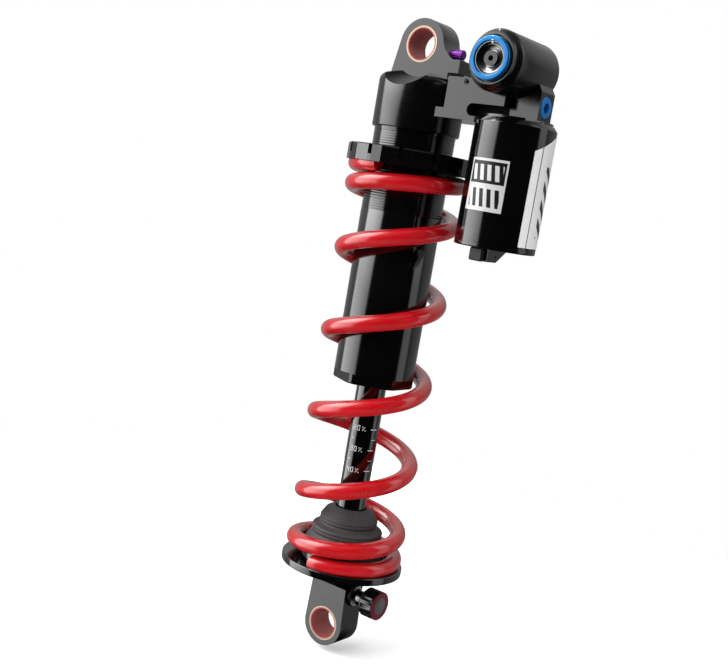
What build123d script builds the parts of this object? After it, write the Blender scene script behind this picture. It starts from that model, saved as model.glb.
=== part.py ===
from build123d import *
from math import cos, sin, radians, pi
import os

os.makedirs("parts", exist_ok=True)

# Rear shock for a full-suspension bicycle, metric coil format.
# Origin: centre of the upper eye. +Z runs up the shock's axis, the lower eye is at -Z.
# Both eye bores run along Y. The piggyback reservoir is on the +X side. Millimetres.

# ---- driving dimensions ----
EYE_TO_EYE = 250.0
STROKE = 67.5
EYE_W = 12.7
SCOOP_R = 13.3
SCOOP_ANGLE = 23.0
PIN_R = 6.35
LINER_R = 6.85
BUSH_R = 7.4

HEAD_R = 18.4
HEAD_BOT = -35.3
SOCKET_R = 16.2
SOCKET_TOP = -22.8

TUBE_R = 17.1
TUBE_IN_R = 14.0
TUBE_BOT = -137.8
THREAD_PITCH = 1.0
THREAD_END = -69.8
SEAL_BOT = -142.4
SEAL_FLAT_R = 15.13
SEAL_TURN = -28.6

SHAFT_R = 6.35
SHAFT_BORE_R = 2.5
LOW_Z = -EYE_TO_EYE

SPRING_R = 22.1
WIRE_R = 3.5
TURNS = 7
SPRING_BOT = -221.0
SPRING_TOP = -49.6
SPRING_Z0 = -219.8
PITCH_END = 5.4
PITCH_MID = 35.6
RAMP_A = 0.36
RAMP_W = 1.936

PLATE_R = 26.4
PLATE_BOT = -224.2

COLLAR_R = 26.6
COLLAR_TOP = -43.5
COLLAR_BOT = -50.4
SKIRT_IN_R = 25.95
SECTORS = 12
RIM_TURN = -94.8

RES_X = 47.0
RES_R = 16.3
RES_IN_R = 14.3
RES_TOP = -26.3
RES_BOT = -77.0

BAR_X = 46.0
BAR_Z = -6.4
BAR_R = 11.9
BAR_FRONT = -21.3
BAR_BACK = 8.9

ADJ_Z = -19.9
VALVE_Z = -79.7
KNOB_Z = -235.3
KNOB_R = 6.2

FILES = []


def save(part, label):
    part.label = label
    part.color = Color(0.5, 0.5, 0.5)
    export_step(part, "parts/" + label + ".step")
    FILES.append(label)


# ================= shock head =================
with BuildPart() as shock_head:
    # turned head with a domed shoulder
    with BuildSketch(Plane.XZ):
        with BuildLine():
            Polyline((0, -10.9), (9, -11.1), (15.4, -12.9))
            ThreePointArc((15.4, -12.9), (17.6, -14.1), (HEAD_R, -16.2))
            Polyline((HEAD_R, -16.2), (HEAD_R, HEAD_BOT + 0.4), (HEAD_R - 0.4, HEAD_BOT),
                     (0, HEAD_BOT), (0, -10.9))
        make_face()
    revolve(axis=Axis.Z)
    # cone-shaped scoops that clear the frame's mounting ears, front and back
    with BuildSketch(Plane.XZ.offset(EYE_W / 2)):
        Circle(SCOOP_R)
    extrude(amount=20, taper=-SCOOP_ANGLE, mode=Mode.SUBTRACT)
    with BuildSketch(Plane.XZ.offset(-EYE_W / 2)):
        Circle(SCOOP_R)
    extrude(amount=-20, taper=-SCOOP_ANGLE, mode=Mode.SUBTRACT)
    # eyelet plate with the small platform on its reservoir side
    with BuildSketch(Plane.XZ):
        with BuildLine():
            Polyline((-10.4, 1.5), (-13.2, -13.5), (-13.2, -20), (15, -20), (15, -10.5),
                     (19.9, -10.5), (19.9, -5.2), (16.4, -5.2))
            ThreePointArc((16.4, -5.2), (12.3, -1.9), (10.0, 3.2))
            ThreePointArc((10.0, 3.2), (0, 10.5), (-10.4, 1.5))
        make_face()
    extrude(amount=EYE_W / 2, both=True)
    # bridge: web, front block and lower band
    with Locations((14, 0, -18.55)):
        Box(16, 12, 12.5)
    with Locations((32.4, 0, -18.55)):
        Box(27.2, 21.4, 12.5)
    with Locations((27, 0, -26.75)):
        Box(38, 21.4, 3.9)
    # valve barrel across the bridge
    with BuildSketch(Plane.XZ.offset(-BAR_FRONT)):
        with Locations((BAR_X, BAR_Z)):
            Circle(BAR_R)
    extrude(amount=-(BAR_BACK - BAR_FRONT - 2.4))
    with BuildSketch(Plane.XZ.offset(-(BAR_BACK - 2.4))):
        with Locations((BAR_X, BAR_Z)):
            Circle(BAR_R)
    extrude(amount=-2.4, taper=40)
    # neck that carries the side adjuster
    with BuildSketch(Plane.XZ):
        with BuildLine():
            Polyline((44, -27.5), (58.5, -27.5), (58.5, -14.2), (55.6, -9.5), (44, -9.5), (44, -27.5))
        make_face()
    extrude(amount=5.5, both=True)
    # flat seat for the reservoir tube, then the spigot it slides over
    with BuildSketch(Plane.XY.offset(-34.0)):
        with Locations((RES_X, 0)):
            Circle(17.0)
    extrude(amount=RES_TOP + 34.0, mode=Mode.SUBTRACT)
    with BuildSketch(Plane.XY.offset(-34.0)):
        with Locations((RES_X, 0)):
            Circle(RES_IN_R)
    extrude(amount=8.6)
    # long pocket in the front and the back of the bridge
    for side in (-1, 1):
        with BuildSketch(Plane.XZ.offset(10.7 * -side)):
            with Locations((45.1, -24.4)):
                SlotOverall(31, 5.0)
        extrude(amount=5.1 * side, mode=Mode.SUBTRACT)
    # eye bore
    with BuildSketch(Plane.XZ):
        Circle(BUSH_R)
    extrude(amount=EYE_W, both=True, mode=Mode.SUBTRACT)
    # socket for the damper tube
    with BuildSketch(Plane.XY.offset(HEAD_BOT)):
        Circle(SOCKET_R)
    extrude(amount=SOCKET_TOP - HEAD_BOT, mode=Mode.SUBTRACT)
    # valve bore
    with BuildSketch(Plane.XZ.offset(-BAR_FRONT)):
        with Locations((BAR_X, BAR_Z)):
            Circle(8.0)
    extrude(amount=-26.5, mode=Mode.SUBTRACT)
    # oil gallery: up from the tube, along the bridge, up into the valve bore
    with BuildSketch(Plane.XY.offset(SOCKET_TOP)):
        with Locations((9, 2.5)):
            Circle(1.8)
    extrude(amount=6.2, mode=Mode.SUBTRACT)
    with BuildSketch(Plane.YZ.offset(8)):
        with Locations((2.5, -17.6)):
            Circle(1.8)
    extrude(amount=33.8, mode=Mode.SUBTRACT)
    with BuildSketch(Plane.XY.offset(-17.6)):
        with Locations((40, 2.5)):
            Circle(1.8)
    extrude(amount=8.0, mode=Mode.SUBTRACT)
    # port from the valve bore down to the reservoir
    with BuildSketch(Plane.XY.offset(-34.0)):
        with Locations((51, -2.5)):
            Circle(1.8)
    extrude(amount=24.0, mode=Mode.SUBTRACT)
    # side adjuster: counterbore and needle bore
    with BuildSketch(Plane.YZ.offset(58.5)):
        with Locations((0, ADJ_Z)):
            Circle(4.6)
    extrude(amount=-3.2, mode=Mode.SUBTRACT)
    with BuildSketch(Plane.YZ.offset(58.5)):
        with Locations((0, ADJ_Z)):
            Circle(1.6)
    extrude(amount=-8.5, mode=Mode.SUBTRACT)
    # hole for the bottom-out dial's spindle
    with BuildSketch(Plane.YZ.offset(20)):
        with Locations((-2, -2.6)):
            Circle(1.25)
    extrude(amount=-10.7, mode=Mode.SUBTRACT)
    # pocket the dial turns in
    with BuildSketch(Plane.YZ.offset(24)):
        with Locations((-2, -2.6)):
            Circle(2.35)
    extrude(amount=-11.7, mode=Mode.SUBTRACT)
    # plug hole on the gallery
    with BuildSketch(Plane.XZ.offset(10.7)):
        with Locations((27.6, -13.9)):
            Circle(1.3)
    extrude(amount=-3, mode=Mode.SUBTRACT)
save(shock_head.part, "shock_head")

with BuildPart() as gallery_plug:
    with BuildSketch(Plane.XZ.offset(8.0)):
        with Locations((27.6, -13.9)):
            Circle(1.3)
            RegularPolygon(0.75, 6, mode=Mode.SUBTRACT)
    extrude(amount=2.4)
    with BuildSketch(Plane.XZ.offset(7.7)):
        with Locations((27.6, -13.9)):
            Circle(1.3)
    extrude(amount=0.3)
save(gallery_plug.part, "gallery_plug")


# ================= eye bushings and liners =================
for label, z in (("upper", 0.0), ("lower", LOW_Z)):
    with BuildPart() as bushing:
        with BuildSketch(Plane.XZ):
            with Locations((0, z)):
                Circle(BUSH_R)
                Circle(LINER_R, mode=Mode.SUBTRACT)
        extrude(amount=EYE_W / 2, both=True)
    save(bushing.part, label + "_eye_bushing")
    with BuildPart() as liner:
        with BuildSketch(Plane.XZ):
            with Locations((0, z)):
                Circle(LINER_R)
                Circle(PIN_R, mode=Mode.SUBTRACT)
        extrude(amount=EYE_W / 2, both=True)
    save(liner.part, label + "_eye_liner")


# ================= damper tube and seal head =================
with BuildPart() as damper_tube:
    with BuildSketch(Plane.XY.offset(TUBE_BOT)):
        Circle(TUBE_R)
    extrude(amount=HEAD_BOT - TUBE_BOT)
    with BuildSketch(Plane.XY.offset(HEAD_BOT)):
        Circle(SOCKET_R)
    extrude(amount=12.0)
    with BuildSketch(Plane.XY.offset(TUBE_BOT)):
        Circle(TUBE_IN_R)
    extrude(amount=120, mode=Mode.SUBTRACT)
    # preload thread, cut as rings at the thread's pitch
    with BuildSketch(Plane.XZ):
        n_rings = int((HEAD_BOT - 1.5 - THREAD_END) / THREAD_PITCH)
        for i in range(n_rings):
            z = HEAD_BOT - 2.0 - i * THREAD_PITCH
            with Locations((TUBE_R, z)):
                Polygon((0, 0.3), (-0.2, 0), (0, -0.3), (0.4, -0.3), (0.4, 0.3), align=None)
    revolve(axis=Axis.Z, mode=Mode.SUBTRACT)
    # groove for the head O-ring
    with BuildSketch(Plane.XZ):
        with Locations((SOCKET_R, -26.5)):
            Rectangle(2.4, 1.6)
    revolve(axis=Axis.Z, mode=Mode.SUBTRACT)
save(damper_tube.part, "damper_tube")

with BuildPart() as seal_head:
    with BuildSketch(Plane.XZ):
        with BuildLine():
            Polyline((0, SEAL_BOT), (TUBE_R - 0.8, SEAL_BOT))
            RadiusArc((TUBE_R - 0.8, SEAL_BOT), (TUBE_R, SEAL_BOT + 0.8), -0.8)
            Polyline((TUBE_R, SEAL_BOT + 0.8), (TUBE_R, TUBE_BOT), (TUBE_IN_R, TUBE_BOT),
                     (TUBE_IN_R, -125), (0, -125), (0, SEAL_BOT))
        make_face()
    revolve(axis=Axis.Z)
    with BuildSketch(Plane.XZ):
        with BuildLine():
            Polyline((0, -124), (9.3, -124), (9.3, -128.5), (7.4, -128.5), (7.4, -136.5),
                     (6.65, -136.5), (6.65, -138.4), (9.4, -138.4), (9.4, -143), (0, -143), (0, -124))
        make_face()
    revolve(axis=Axis.Z, mode=Mode.SUBTRACT)
    with BuildSketch(Plane.XZ):
        with Locations((TUBE_IN_R, -131)):
            Rectangle(2.2, 1.4)
    revolve(axis=Axis.Z, mode=Mode.SUBTRACT)
    # six wrench flats around the flange's rim
    with BuildSketch(Plane.XY.offset(SEAL_BOT - 0.5)):
        Circle(TUBE_R + 2)
        RegularPolygon(SEAL_FLAT_R, 6, major_radius=False, rotation=SEAL_TURN, mode=Mode.SUBTRACT)
    extrude(amount=TUBE_BOT - SEAL_BOT + 0.1, mode=Mode.SUBTRACT)
save(seal_head.part, "seal_head")


def torus_ring(label, r_major, r_minor, z, x=0.0):
    with BuildPart() as ring:
        with BuildSketch(Plane.XZ):
            with Locations((x + r_major, z)):
                Circle(r_minor)
        revolve(axis=Axis((x, 0, 0), (0, 0, 1)))
    save(ring.part, label)


def tube_ring(label, r_out, r_in, z0, z1, x=0.0):
    with BuildPart() as ring:
        with BuildSketch(Plane.XY.offset(z0)):
            with Locations((x, 0)):
                Circle(r_out)
                Circle(r_in, mode=Mode.SUBTRACT)
        extrude(amount=z1 - z0)
    save(ring.part, label)


torus_ring("head_o_ring", 15.6, 0.59, -26.5)
torus_ring("seal_head_o_ring", 13.45, 0.54, -131.0)
tube_ring("shaft_bushing", 7.4, SHAFT_R + 0.04, -136.4, -128.6)

with BuildPart() as shaft_seal:
    with BuildSketch(Plane.XZ):
        with BuildLine():
            Polyline((SHAFT_R + 0.03, -127.6), (7.3, -128.4), (9.3, -128.4), (9.3, -125.2), (8.3, -125.2),
                     (7.6, -126.8), (6.9, -125.6), (SHAFT_R + 0.03, -126.2), (SHAFT_R + 0.03, -127.6))
        make_face()
    revolve(axis=Axis.Z)
save(shaft_seal.part, "shaft_seal")

with BuildPart() as wiper_seal:
    with BuildSketch(Plane.XZ):
        with BuildLine():
            Polyline((7.4, -138.5), (9.4, -138.5), (9.4, -142.2), (7.6, -142.2), (6.7, -143.4),
                     (SHAFT_R + 0.03, -143.1), (SHAFT_R + 0.03, -142.3), (7.4, -140.6), (7.4, -138.5))
        make_face()
    revolve(axis=Axis.Z)
save(wiper_seal.part, "wiper_seal")

# cup that the hydraulic bottom-out piston enters near full travel
with BuildPart() as bottom_out_cup:
    with BuildSketch(Plane.XY.offset(-25.0)):
        Circle(13.9)
    extrude(amount=-25.0 - SOCKET_TOP, dir=(0, 0, -1))
    with BuildSketch(Plane.XY.offset(-40.0)):
        Circle(9.6)
        Circle(8.0, mode=Mode.SUBTRACT)
    extrude(amount=15.0)
    with BuildSketch(Plane.XY.offset(-25.0)):
        with PolarLocations(11.7, 6):
            Circle(1.3)
        Circle(1.0)
    extrude(amount=3, mode=Mode.SUBTRACT)
    # bleed holes that close one by one
    for z in (-37.5, -33.5, -29.5):
        with BuildSketch(Plane.YZ):
            with Locations((0, z)):
                Circle(0.7)
        extrude(amount=10, both=True, mode=Mode.SUBTRACT)
save(bottom_out_cup.part, "bottom_out_cup")


# ================= reservoir =================
with BuildPart() as reservoir_tube:
    with BuildSketch(Plane.XY.offset(RES_BOT + 1.6)):
        with Locations((RES_X, 0)):
            Circle(RES_R)
    extrude(amount=RES_TOP - RES_BOT - 1.6)
    chamfer(reservoir_tube.edges().group_by(Axis.Z)[-1], length=1.9, length2=1.5)
    with BuildSketch(Plane.XY.offset(RES_BOT)):
        with Locations((RES_X, 0)):
            Circle(RES_IN_R)
    extrude(amount=60, mode=Mode.SUBTRACT)
save(reservoir_tube.part, "reservoir_tube")

with BuildPart() as reservoir_end_cap:
    with BuildSketch(Plane.XY.offset(RES_BOT)):
        with Locations((RES_X, 0)):
            Circle(RES_R)
    extrude(amount=1.6)
    fillet(reservoir_end_cap.edges().group_by(Axis.Z)[0], radius=0.7)
    with BuildSketch(Plane.XY.offset(RES_BOT + 1.6)):
        with Locations((RES_X, 0)):
            Circle(RES_IN_R)
    extrude(amount=7.0)
    # lug for the air valve, slanted on its far side
    with BuildSketch(Plane.YZ.offset(RES_X)):
        with BuildLine():
            Polyline((-11.0, RES_BOT + 1), (-11.0, -82.0), (-3.7, -82.0), (5.5, RES_BOT + 1), (-11.0, RES_BOT + 1))
        make_face()
    extrude(amount=3.9, both=True)
    # valve bore from the front and the passage up to the gas space
    with BuildSketch(Plane.XZ.offset(11.0)):
        with Locations((RES_X, VALVE_Z)):
            Circle(2.0)
    extrude(amount=-8.4, mode=Mode.SUBTRACT)
    with BuildSketch(Plane.XY.offset(VALVE_Z)):
        with Locations((RES_X, -3.8)):
            Circle(0.9)
    extrude(amount=12, mode=Mode.SUBTRACT)
    with BuildSketch(Plane.XZ):
        with Locations((RES_X + RES_IN_R, -71.5)):
            Rectangle(2.2, 1.4)
    revolve(axis=Axis((RES_X, 0, 0), (0, 0, 1)), mode=Mode.SUBTRACT)
    with BuildSketch(Plane.XZ):
        with Locations((RES_X + RES_IN_R, -74.1)):
            Rectangle(1.6, 0.9)
    revolve(axis=Axis((RES_X, 0, 0), (0, 0, 1)), mode=Mode.SUBTRACT)
    # blind pin hole in the lug's side
    with BuildSketch(Plane.YZ.offset(RES_X + 3.9)):
        with Locations((-4.4, -79.8)):
            Circle(0.5)
    extrude(amount=-1.2, mode=Mode.SUBTRACT)
save(reservoir_end_cap.part, "reservoir_end_cap")

torus_ring("end_cap_o_ring", RES_IN_R - 0.55, 0.54, -71.5, RES_X)
torus_ring("end_cap_wire_ring", RES_IN_R - 0.41, 0.39, -74.1, RES_X)

with BuildPart() as air_valve_body:
    with BuildSketch(Plane.XZ.offset(2.6)):
        with Locations((RES_X, VALVE_Z)):
            Circle(2.0)
            Circle(1.3, mode=Mode.SUBTRACT)
    extrude(amount=9.6)
    with BuildSketch(Plane.XY.offset(VALVE_Z)):
        with Locations((RES_X, -3.8)):
            Circle(0.9)
    extrude(amount=5, mode=Mode.SUBTRACT)
save(air_valve_body.part, "air_valve_body")

with BuildPart() as valve_core:
    with BuildSketch(Plane.XZ.offset(5.0)):
        with Locations((RES_X, VALVE_Z)):
            Circle(1.3)
    extrude(amount=4.5)
    with BuildSketch(Plane.XZ.offset(9.5)):
        with Locations((RES_X, VALVE_Z)):
            Circle(0.5)
    extrude(amount=1.9)
save(valve_core.part, "valve_core")

with BuildPart() as valve_cap:
    # square rubber plug
    with BuildSketch(Plane.XZ.offset(11.0)):
        with Locations((RES_X - 0.3, VALVE_Z + 0.1)):
            RectangleRounded(5.9, 5.2, 0.9)
    extrude(amount=2.4)
    chamfer(valve_cap.edges().group_by(Axis.Y)[0], length=0.5)
    with BuildSketch(Plane.XZ.offset(11.0)):
        with Locations((RES_X, VALVE_Z)):
            Circle(2.0)
    extrude(amount=1.6, mode=Mode.SUBTRACT)
save(valve_cap.part, "valve_cap")


# foil stickers on the reservoir: a patch at the front, a slanted stripe on the outer side
def sticker(label, a0, a1, z0, z1, slant):
    with BuildPart() as foil:
        with BuildSketch(Plane.XY.offset(z0)):
            with Locations((RES_X, 0)):
                Circle(RES_R + 0.12)
                Circle(RES_R, mode=Mode.SUBTRACT)
        extrude(amount=z1 - z0)
        # keep only the sector the foil covers
        am = (a0 + a1) / 2
        p0, pm, p1 = [(RES_X + 30 * cos(radians(a)), 30 * sin(radians(a))) for a in (a0, am, a1)]
        with BuildSketch(Plane.XY.offset(z0 - 1)):
            with BuildLine():
                Line((RES_X, 0), p0)
                ThreePointArc(p0, pm, p1)
                Line(p1, (RES_X, 0))
            make_face()
        extrude(amount=z1 - z0 + 2, mode=Mode.INTERSECT)
        if slant > 0:
            # the top edge rises toward the back
            with BuildSketch(Plane.YZ):
                Polygon((-20, z1 - 24 * slant), (24, z1 + 20 * slant), (24, z1 + 30), (-20, z1 + 30), align=None)
            extrude(amount=80, mode=Mode.SUBTRACT)
    save(foil.part, label)


sticker("reservoir_patch", -118, -60, -62.8, -42.6, 0)
sticker("reservoir_stripe", -28, 40, -74.2, -30.6, 0.552)


# ================= compression valve in the barrel =================
def turned(label, points, plane, axis):
    with BuildPart() as piece:
        with BuildSketch(plane):
            with BuildLine():
                Polyline(*points, points[0])
            make_face()
        revolve(axis=axis)
    save(piece.part, label)


BAR_PLANE = Plane((BAR_X, 0, BAR_Z), x_dir=(1, 0, 0), z_dir=(0, 0, 1))
BAR_AXIS = Axis((BAR_X, 0, BAR_Z), (0, 1, 0))

# points are (radius, y)
turned("dial_bezel", [(6.6, -17.3), (7.9, -17.3), (7.9, -21.3), (11.9, -21.3), (11.9, -22.2), (9.7, -25.2),
                      (9.7, -25.7), (8.9, -25.7), (8.9, -24.0), (6.6, -24.0)], BAR_PLANE, BAR_AXIS)
turned("compression_dial", [(3.2, -24.6), (8.4, -24.6), (8.4, -27.6), (6.3, -27.6), (6.1, -26.6), (3.2, -25.4)],
       BAR_PLANE, BAR_AXIS)

with BuildPart() as dial_stem:
    with BuildSketch(Plane.XZ.offset(9.0)):
        with Locations((BAR_X, BAR_Z)):
            Circle(3.2)
            Circle(2.3, mode=Mode.SUBTRACT)
    extrude(amount=16.4)
    with BuildSketch(Plane.XZ.offset(9.0)):
        with Locations((BAR_X, BAR_Z)):
            Circle(6.5)
            Circle(2.3, mode=Mode.SUBTRACT)
    extrude(amount=2.0)
save(dial_stem.part, "compression_dial_stem")

with BuildPart() as high_speed_screw:
    with BuildSketch(Plane.XZ.offset(7.0)):
        with Locations((BAR_X, BAR_Z)):
            Circle(2.0)
    extrude(amount=18.6)
    with BuildSketch(Plane.XZ.offset(25.6)):
        with Locations((BAR_X, BAR_Z)):
            Circle(2.9)
    extrude(amount=0.9)
    with BuildSketch(Plane.XZ.offset(26.5)):
        with Locations((BAR_X, BAR_Z)):
            RegularPolygon(1.15, 6)
    extrude(amount=-2.5, mode=Mode.SUBTRACT)
save(high_speed_screw.part, "high_speed_screw")

with BuildPart() as compression_valve_body:
    with BuildSketch(Plane.XZ.offset(3.0)):
        with Locations((BAR_X, BAR_Z)):
            Circle(7.95)
            Circle(2.0, mode=Mode.SUBTRACT)
            with PolarLocations(5.2, 6):
                Circle(1.0, mode=Mode.SUBTRACT)
    extrude(amount=-6.5)
    with BuildSketch(Plane.XY.offset(BAR_Z)):
        with Locations((BAR_X + 7.95, -0.0)):
            Rectangle(1.6, 1.3)
    revolve(axis=BAR_AXIS, mode=Mode.SUBTRACT)
save(compression_valve_body.part, "compression_valve_body")

with BuildPart() as valve_o_rings:
    with BuildSketch(Plane.XY.offset(BAR_Z)):
        with Locations((BAR_X + 7.45, 0.0)):
            Circle(0.29)
    revolve(axis=BAR_AXIS)
save(valve_o_rings.part, "valve_o_ring")

with BuildPart() as valve_shims:
    for i in range(4):
        with BuildSketch(Plane.XZ.offset(3.0 + i * 0.5)):
            with Locations((BAR_X, BAR_Z)):
                Circle(6.6 - i)
                Circle(2.0, mode=Mode.SUBTRACT)
        extrude(amount=0.4)
save(valve_shims.part, "compression_valve_shims")

with BuildPart() as valve_bolt:
    with BuildSketch(Plane.XZ.offset(-4.9)):
        with Locations((BAR_X, BAR_Z)):
            RegularPolygon(3.2, 6)
    extrude(amount=1.4)
    with BuildSketch(Plane.XZ.offset(-3.5)):
        with Locations((BAR_X, BAR_Z)):
            Circle(1.98)
    extrude(amount=9.5)
save(valve_bolt.part, "compression_valve_bolt")


# ================= adjusters on the head =================
with BuildPart() as side_adjuster:
    with BuildSketch(Plane.YZ.offset(55.4)):
        with Locations((0, ADJ_Z)):
            Circle(4.55)
    extrude(amount=3.3)
    chamfer(side_adjuster.edges().group_by(Axis.X)[-1], length=0.5)
    with BuildSketch(Plane.YZ.offset(50.5)):
        with Locations((0, ADJ_Z)):
            Circle(1.55)
    extrude(amount=4.9)
    with BuildSketch(Plane.YZ.offset(58.7)):
        with Locations((0, ADJ_Z)):
            RegularPolygon(2.3, 6)
    extrude(amount=-2.4, mode=Mode.SUBTRACT)
save(side_adjuster.part, "side_adjuster")

with BuildPart() as bottom_out_dial:
    with BuildSketch(Plane.YZ.offset(12.6)):
        with Locations((-2, -2.6)):
            Circle(2.0)
    extrude(amount=6.0)
    chamfer(bottom_out_dial.edges().group_by(Axis.X)[-1], length=0.3)
    with BuildSketch(Plane.YZ.offset(9.5)):
        with Locations((-2, -2.6)):
            Circle(1.2)
    extrude(amount=3.1)
    # fine grip grooves
    with BuildSketch(Plane.YZ.offset(13.4)):
        with Locations((-2, -2.6)):
            with PolarLocations(2.0, 12):
                Circle(0.18)
    extrude(amount=4.4, mode=Mode.SUBTRACT)
save(bottom_out_dial.part, "bottom_out_dial")


# ================= floating piston =================
with BuildPart() as floating_piston:
    with BuildSketch(Plane.XY.offset(-46.0)):
        with Locations((RES_X, 0)):
            Circle(RES_IN_R - 0.06)
    extrude(amount=8.0)
    with BuildSketch(Plane.XY.offset(-46.0)):
        with Locations((RES_X, 0)):
            Circle(11.0)
    extrude(amount=5.0, mode=Mode.SUBTRACT)
    with BuildSketch(Plane.XZ):
        with Locations((RES_X + RES_IN_R, -41.5)):
            Rectangle(2.2, 1.4)
    revolve(axis=Axis((RES_X, 0, 0), (0, 0, 1)), mode=Mode.SUBTRACT)
    with BuildSketch(Plane.XY.offset(-41.0)):
        with Locations((RES_X, 0)):
            Circle(1.5)
    extrude(amount=3.0, mode=Mode.SUBTRACT)
save(floating_piston.part, "floating_piston")
torus_ring("floating_piston_o_ring", RES_IN_R - 0.58, 0.52, -41.5, RES_X)
tube_ring("floating_piston_bleed_screw", 1.5, 0.45, -40.8, -38.0, RES_X)


# ================= coil spring, guide and collar =================
def smooth_ramp(u):
    if u <= 0:
        return 0.0
    if u >= 1:
        return u - 0.5
    return u ** 3 - u ** 4 / 2


def spring_z(t):
    """Height of the wire's centre after t turns: closed ends, open middle coils."""
    rise = smooth_ramp((t - RAMP_A) / RAMP_W) - smooth_ramp((t - (TURNS - RAMP_A - RAMP_W)) / RAMP_W)
    return SPRING_Z0 + PITCH_END * t + (PITCH_MID - PITCH_END) * RAMP_W * rise


STEPS = TURNS * 16
wire_line = []
for i in range(STEPS + 1):
    turn = i / 16
    angle = 2 * pi * turn - pi / 2
    wire_line.append((SPRING_R * cos(angle), SPRING_R * sin(angle), spring_z(turn)))

with BuildPart() as coil_spring:
    with BuildLine() as wire_path:
        Spline(*wire_line)
    with BuildSketch(Plane(origin=wire_path.line @ 0, z_dir=wire_path.line % 0)):
        Circle(WIRE_R)
    sweep(path=wire_path.line, is_frenet=True)
    # both ends are ground flat
    with BuildSketch(Plane.XY.offset(SPRING_BOT)):
        Circle(40)
    extrude(amount=SPRING_TOP - SPRING_BOT, mode=Mode.INTERSECT)
save(coil_spring.part, "coil_spring")

with BuildPart() as spring_guide:
    with BuildSketch(Plane.XY.offset(-50.6)):
        Circle(18.2)
    extrude(amount=2.9)
    with BuildSketch(Plane.XY.offset(SPRING_TOP)):
        Circle(25.6)
    extrude(amount=1.9)
    chamfer(spring_guide.edges().group_by(Axis.Z)[0], length=0.5)
    with BuildSketch(Plane.XY.offset(-52)):
        Circle(TUBE_R + 0.06)
    extrude(amount=6, mode=Mode.SUBTRACT)
save(spring_guide.part, "spring_guide")

# the collar's rim: twelve sectors, each a narrow tool notch, a short flat and a long flat
rim = []
for k in range(SECTORS):
    for offset in (2.0, 12.0, 28.0):
        a = radians(RIM_TURN + 360 / SECTORS * k + offset)
        rim.append((COLLAR_R * cos(a), COLLAR_R * sin(a)))
with BuildPart() as preload_collar:
    with BuildSketch(Plane.XY.offset(COLLAR_BOT)):
        Polygon(*rim, align=None)
    extrude(amount=COLLAR_TOP - COLLAR_BOT)
    chamfer(preload_collar.edges().group_by(Axis.Z)[-1], length=0.5)
    with BuildSketch(Plane.XY.offset(COLLAR_BOT)):
        Circle(SKIRT_IN_R)
    extrude(amount=-47.7 - COLLAR_BOT, mode=Mode.SUBTRACT)
    with BuildSketch(Plane.XY.offset(-50)):
        Circle(TUBE_R + 0.06)
    extrude(amount=8, mode=Mode.SUBTRACT)
    with BuildSketch(Plane.XY.offset(-47.7)):
        with PolarLocations(COLLAR_R, SECTORS, start_angle=RIM_TURN):
            Rectangle(2.6, 1.9)
    extrude(amount=8, mode=Mode.SUBTRACT)
save(preload_collar.part, "preload_collar")


# ================= shaft assembly =================
with BuildPart() as damper_shaft:
    with BuildSketch(Plane.XY.offset(-229.0)):
        Circle(SHAFT_R)
    extrude(amount=108.0)
    with BuildSketch(Plane.XY.offset(-231.4)):
        Circle(5.0)
    extrude(amount=2.4)
    with BuildSketch(Plane.XY.offset(-232)):
        Circle(SHAFT_BORE_R)
    extrude(amount=112, mode=Mode.SUBTRACT)
    with BuildSketch(Plane.XY.offset(-130.0)):
        Circle(4.0)
    extrude(amount=10, mode=Mode.SUBTRACT)
save(damper_shaft.part, "damper_shaft")

with BuildPart() as lower_eyelet:
    # round neck under the spring perch
    with BuildSketch(Plane.XY.offset(-232.0)):
        Circle(8.7)
    extrude(amount=7.8)
    chamfer(lower_eyelet.edges().group_by(Axis.Z)[0], length=2.3)
    # eyelet plate
    with BuildSketch(Plane.XZ):
        with BuildLine():
            Polyline((9.65, -249.0), (9.0, -232.0), (-9.2, -232.0), (-9.8, -249.0))
            ThreePointArc((-9.8, -249.0), (0, -259.7), (9.65, -249.0))
        make_face()
    extrude(amount=EYE_W / 2, both=True)
    # boss around the adjuster on the +X side
    with BuildSketch(Plane.YZ.offset(2)):
        with Locations((0, KNOB_Z)):
            Circle(4.7)
    extrude(amount=7.6)
    with BuildSketch(Plane.XZ):
        with Locations((0, LOW_Z)):
            Circle(BUSH_R)
    extrude(amount=EYE_W, both=True, mode=Mode.SUBTRACT)
    # shaft socket and rod passage
    with BuildSketch(Plane.XY.offset(-229.0)):
        Circle(SHAFT_R)
    extrude(amount=6, mode=Mode.SUBTRACT)
    with BuildSketch(Plane.XY.offset(-231.4)):
        Circle(5.0)
    extrude(amount=6, mode=Mode.SUBTRACT)
    with BuildSketch(Plane.XY.offset(KNOB_Z)):
        Circle(SHAFT_BORE_R)
    extrude(amount=6, mode=Mode.SUBTRACT)
    # cross bore for the rebound adjuster
    with BuildSketch(Plane.YZ.offset(-3.0)):
        with Locations((0, KNOB_Z)):
            Circle(2.2)
    extrude(amount=15, mode=Mode.SUBTRACT)
    with BuildSketch(Plane.YZ.offset(6.4)):
        with Locations((0, KNOB_Z)):
            Circle(4.1)
    extrude(amount=5, mode=Mode.SUBTRACT)
save(lower_eyelet.part, "lower_eyelet")

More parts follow.
